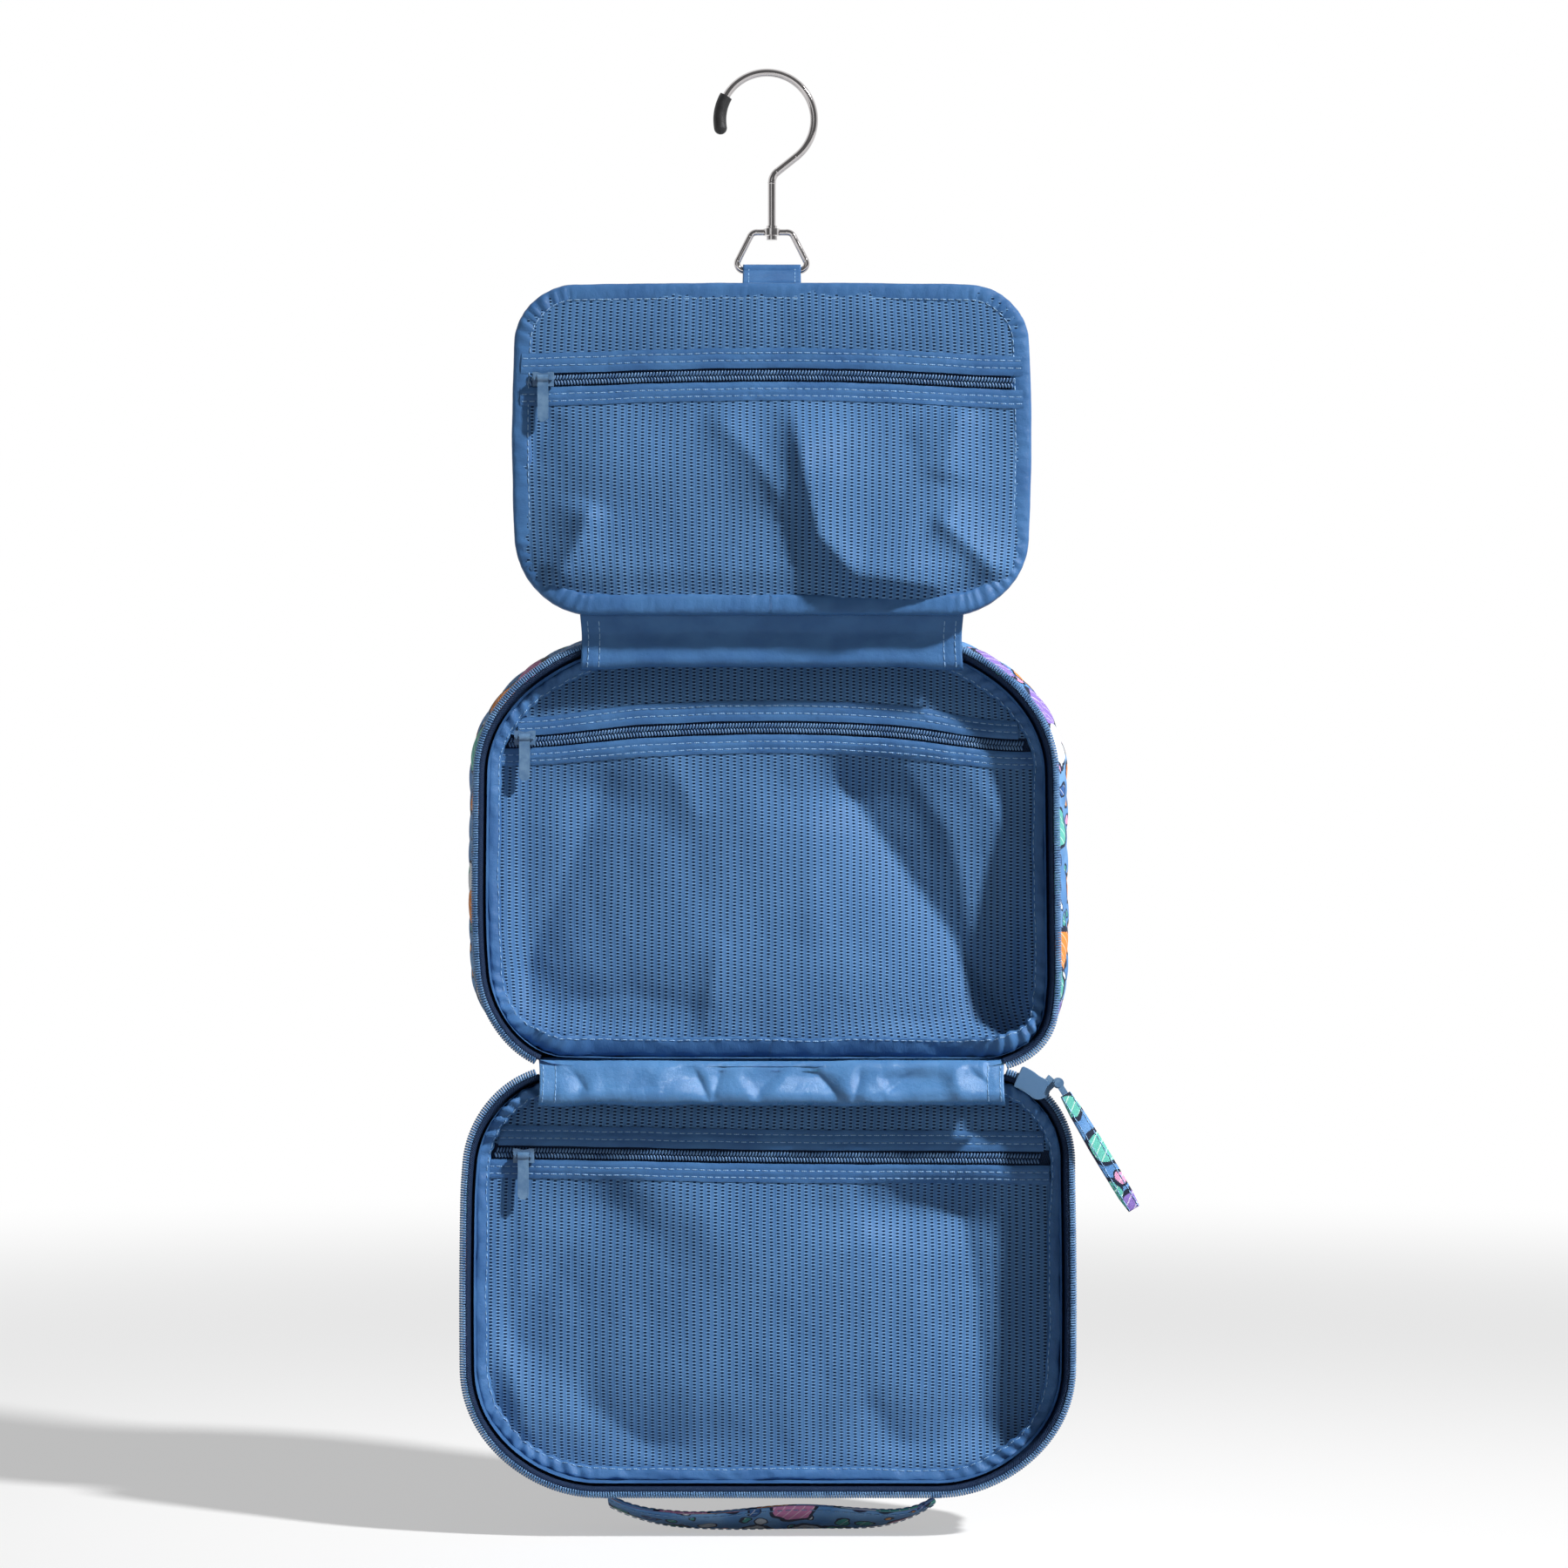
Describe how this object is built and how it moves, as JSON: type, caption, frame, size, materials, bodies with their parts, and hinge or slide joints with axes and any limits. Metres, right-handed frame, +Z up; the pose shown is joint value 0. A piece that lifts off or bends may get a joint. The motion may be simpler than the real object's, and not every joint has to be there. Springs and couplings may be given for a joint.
{
  "type": "hanging toiletry bag",
  "caption": "Fold-out hanging toiletry bag: swivel hook, mesh-pocket flap and zip-round quilted cases with mesh pockets that fold shut into one carry bag.",
  "frame": {"origin": "the seat of the hook, on the inner top of its curve, where the rail bears", "axes": "+X to the right seen from the front, +Y to the back, +Z up; the bag hangs open down -Z"},
  "size_m": [0.2841, 0.0606, 0.6217],
  "materials": {
    "chrome_wire": "dark chrome plated wire",
    "black_rubber": "matt black dipped rubber",
    "printed_quilt": null,
    "satin_lining": "satin nylon lining, slightly shiny",
    "pinhole_mesh": "pinhole polyester mesh",
    "zip_tape": "woven zip tape",
    "zip_coil": "nylon coil",
    "enamelled_metal": "grey-blue enamel"
  },
  "bodies": {
    "hook_assembly": {"hook": "chrome_wire", "hook_tip": "black_rubber", "hook_rivet": "chrome_wire"},
    "swivel_ring": {"swivel_collar": "chrome_wire", "ring": "chrome_wire"},
    "top_flap": {"hanger_tab": "satin_lining", "flap_outer_panel": "printed_quilt", "flap_lining": "satin_lining", "flap_binding": "satin_lining", "flap_mesh_upper": "pinhole_mesh", "flap_mesh_lower": "pinhole_mesh", "flap_facing_upper": "satin_lining", "flap_facing_lower": "satin_lining", "flap_pocket_tape": "zip_tape", "flap_pocket_coil": "zip_coil", "bridge_band": "satin_lining"},
    "flap_zip_slider": {"flap_slider": "enamelled_metal"},
    "flap_zip_pull": {"flap_pull": "enamelled_metal"},
    "middle_case": {"middle_back_panel": "printed_quilt", "middle_gusset": "printed_quilt", "middle_lining": "satin_lining", "middle_rim_tape": "zip_tape", "middle_rim_coil": "zip_coil", "middle_piping": "satin_lining", "middle_mesh_upper": "pinhole_mesh", "middle_mesh_lower": "pinhole_mesh", "middle_facing_upper": "satin_lining", "middle_facing_lower": "satin_lining", "middle_pocket_tape": "zip_tape", "middle_pocket_coil": "zip_coil", "bridge_hem": "satin_lining"},
    "middle_zip_slider": {"middle_slider": "enamelled_metal"},
    "middle_zip_pull": {"middle_pull": "enamelled_metal"},
    "lower_case": {"lower_back_panel": "printed_quilt", "lower_gusset": "printed_quilt", "lower_lining": "satin_lining", "lower_rim_tape": "zip_tape", "lower_rim_coil": "zip_coil", "lower_piping": "satin_lining", "lower_mesh_upper": "pinhole_mesh", "lower_mesh_lower": "pinhole_mesh", "lower_facing_upper": "satin_lining", "lower_facing_lower": "satin_lining", "lower_pocket_tape": "zip_tape", "lower_pocket_coil": "zip_coil", "hinge_band": "satin_lining", "handle_anchors": "printed_quilt"},
    "lower_zip_slider": {"lower_slider": "enamelled_metal"},
    "lower_zip_pull": {"lower_pull": "enamelled_metal"},
    "main_zip_slider": {"main_slider": "enamelled_metal"},
    "main_zip_pull": {"main_pull_link": "enamelled_metal", "main_pull_tab": "printed_quilt"},
    "carry_handle": {"handle": "printed_quilt"}
  },
  "joints": [
    {"name": "hook_swivel", "type": "hinge", "parent": "hook_assembly", "child": "swivel_ring", "pos_m": [0, 0, -0.06661], "axis": [0, 0, 1], "continuous": true},
    {"name": "ring_swing", "type": "hinge", "parent": "swivel_ring", "child": "top_flap", "pos_m": [0, 0, -0.08302], "axis": [1, 0, 0], "range_deg": [-87.1, 182.9]},
    {"name": "flap_fold", "type": "hinge", "parent": "top_flap", "child": "middle_case", "pos_m": [0, -0.01533, -0.24725], "axis": [-1, 0, 0], "range_deg": [0, 180]},
    {"name": "lower_fold", "type": "hinge", "parent": "middle_case", "child": "lower_case", "pos_m": [0, -0.02424, -0.42322], "axis": [-1, 0, 0], "range_deg": [0, 180]},
    {"name": "flap_zip", "type": "slide", "parent": "top_flap", "child": "flap_zip_slider", "axis": [1, 0, 0], "range_m": [0, 0.1938]},
    {"name": "flap_pull_hinge", "type": "hinge", "parent": "flap_zip_slider", "child": "flap_zip_pull", "pos_m": [-0.0969, -0.02081, -0.13102], "axis": [1, 0, 0], "range_deg": [-150, 0]},
    {"name": "middle_zip", "type": "slide", "parent": "middle_case", "child": "middle_zip_slider", "axis": [1, 0, 0], "range_m": [0, 0.211]},
    {"name": "middle_pull_hinge", "type": "hinge", "parent": "middle_zip_slider", "child": "middle_zip_pull", "pos_m": [-0.1055, -0.00657, -0.28294], "axis": [1, 0, 0], "range_deg": [-150, 0]},
    {"name": "lower_zip", "type": "slide", "parent": "lower_case", "child": "lower_zip_slider", "axis": [1, 0, 0], "range_m": [0, 0.211]},
    {"name": "lower_pull_hinge", "type": "hinge", "parent": "lower_zip_slider", "child": "lower_zip_pull", "pos_m": [-0.1055, -0.01558, -0.46071], "axis": [1, 0, 0], "range_deg": [-150, 0]},
    {"name": "main_zip", "type": "hinge", "parent": "lower_case", "child": "main_zip_slider", "pos_m": [0.088, -0.02622, -0.46217], "axis": [0, 0.9987, -0.0506], "range_deg": [0, 47.5]},
    {"name": "main_pull_hinge", "type": "hinge", "parent": "main_zip_slider", "child": "main_zip_pull", "pos_m": [0.12102, -0.02629, -0.42911], "axis": [0, -0.9987, 0.0506], "range_deg": [0, 100]},
    {"name": "handle_swing", "type": "hinge", "parent": "lower_case", "child": "carry_handle", "pos_m": [0, -0.01126, -0.60762], "axis": [1, 0, 0], "range_deg": [-40, 40]}
  ]
}
